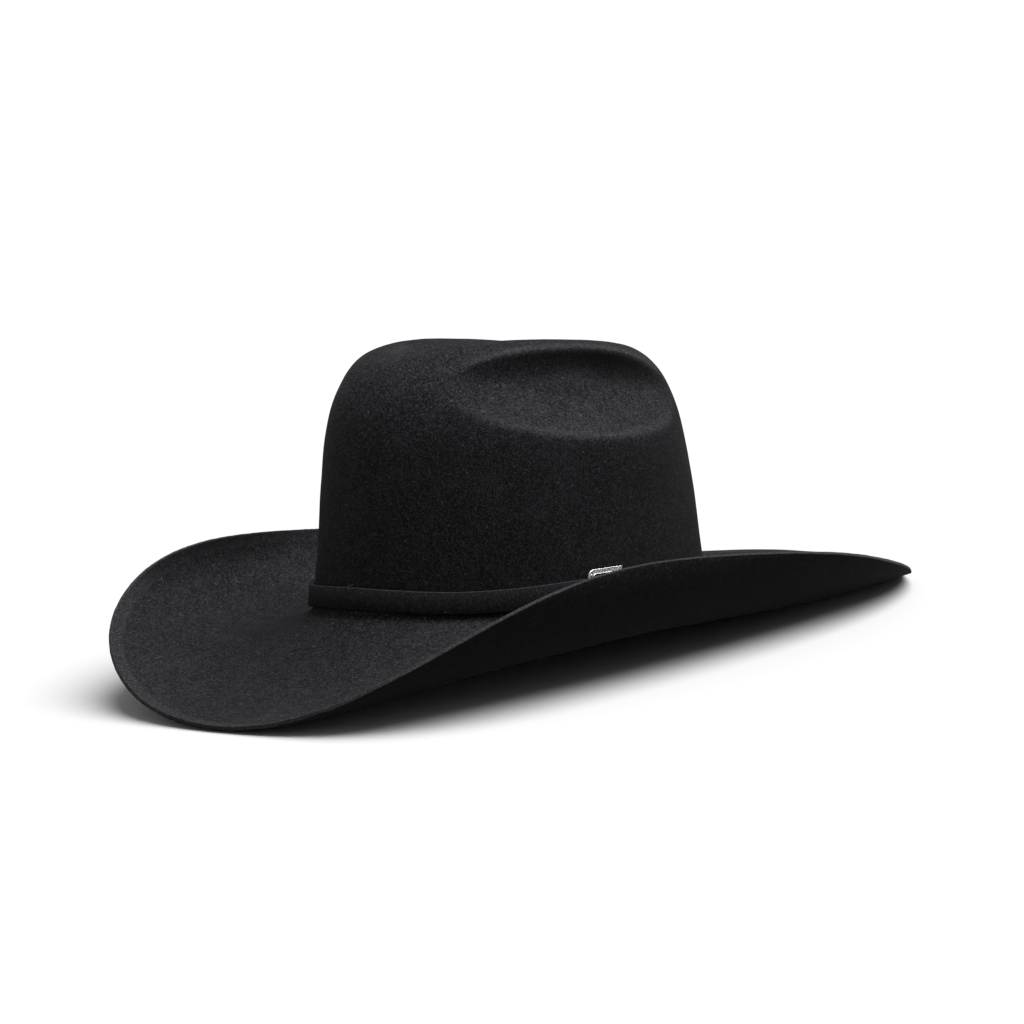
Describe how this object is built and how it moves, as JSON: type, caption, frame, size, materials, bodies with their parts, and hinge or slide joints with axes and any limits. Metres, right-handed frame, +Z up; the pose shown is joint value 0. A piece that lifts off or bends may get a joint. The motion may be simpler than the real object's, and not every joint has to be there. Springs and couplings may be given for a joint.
{
  "type": "cowboy hat",
  "caption": "Felt cowboy hat with a cattleman crease, rolled side brims, a felt hatband with a three-piece buckle set, a leather sweatband and a lining.",
  "frame": {"origin": "middle of the bounding box at the plane the hat stands on, which touches the front and rear dips of the brim", "axes": "-Y to the front of the hat, +X to the wearer's left, +Z up"},
  "size_m": [0.33, 0.4006, 0.1537],
  "materials": {
    "black_felt": "brushed felt",
    "band_felt": "brushed felt, cut edges",
    "silver": "polished, engraved",
    "thread": "twisted thread",
    "leather": "fine grain, satin",
    "reed_plastic": "ribbon covered",
    "ribbon": "grosgrain",
    "satin": "satin",
    "clear_plastic": "clear film"
  },
  "bodies": {
    "hat": {"felt_body": "black_felt", "hatband_strap": "band_felt", "strap_tip": "silver", "strap_tip_rivet": "silver", "band_tack_front": "thread", "band_tack_right": "thread", "band_tack_rear": "thread", "sweatband": "leather", "sweatband_reed": "reed_plastic", "sweatband_bow": "ribbon", "liner_side": "satin", "liner_tip": "satin", "tip_shield": "clear_plastic"},
    "buckle": {"buckle_frame": "silver", "buckle_bar": "silver"},
    "prong": {"buckle_prong": "silver"},
    "keeper": {"keeper_loop": "silver"}
  },
  "joints": [
    {"name": "buckle_lift", "type": "hinge", "parent": "hat", "child": "buckle", "pos_m": [0.08804, -0.01103, 0.03371], "axis": [-0.1381, 0.1052, 0.9848], "range_deg": [0, 12]},
    {"name": "prong_lift", "type": "hinge", "parent": "buckle", "child": "prong", "pos_m": [0.08804, -0.01103, 0.03371], "axis": [-0.1381, 0.1052, 0.9848], "range_deg": [0, 8]},
    {"name": "keeper_slide", "type": "slide", "parent": "hat", "child": "keeper", "axis": [-0.0906, 0.9876, -0.1283], "range_m": [-0.003, 0.003]}
  ]
}
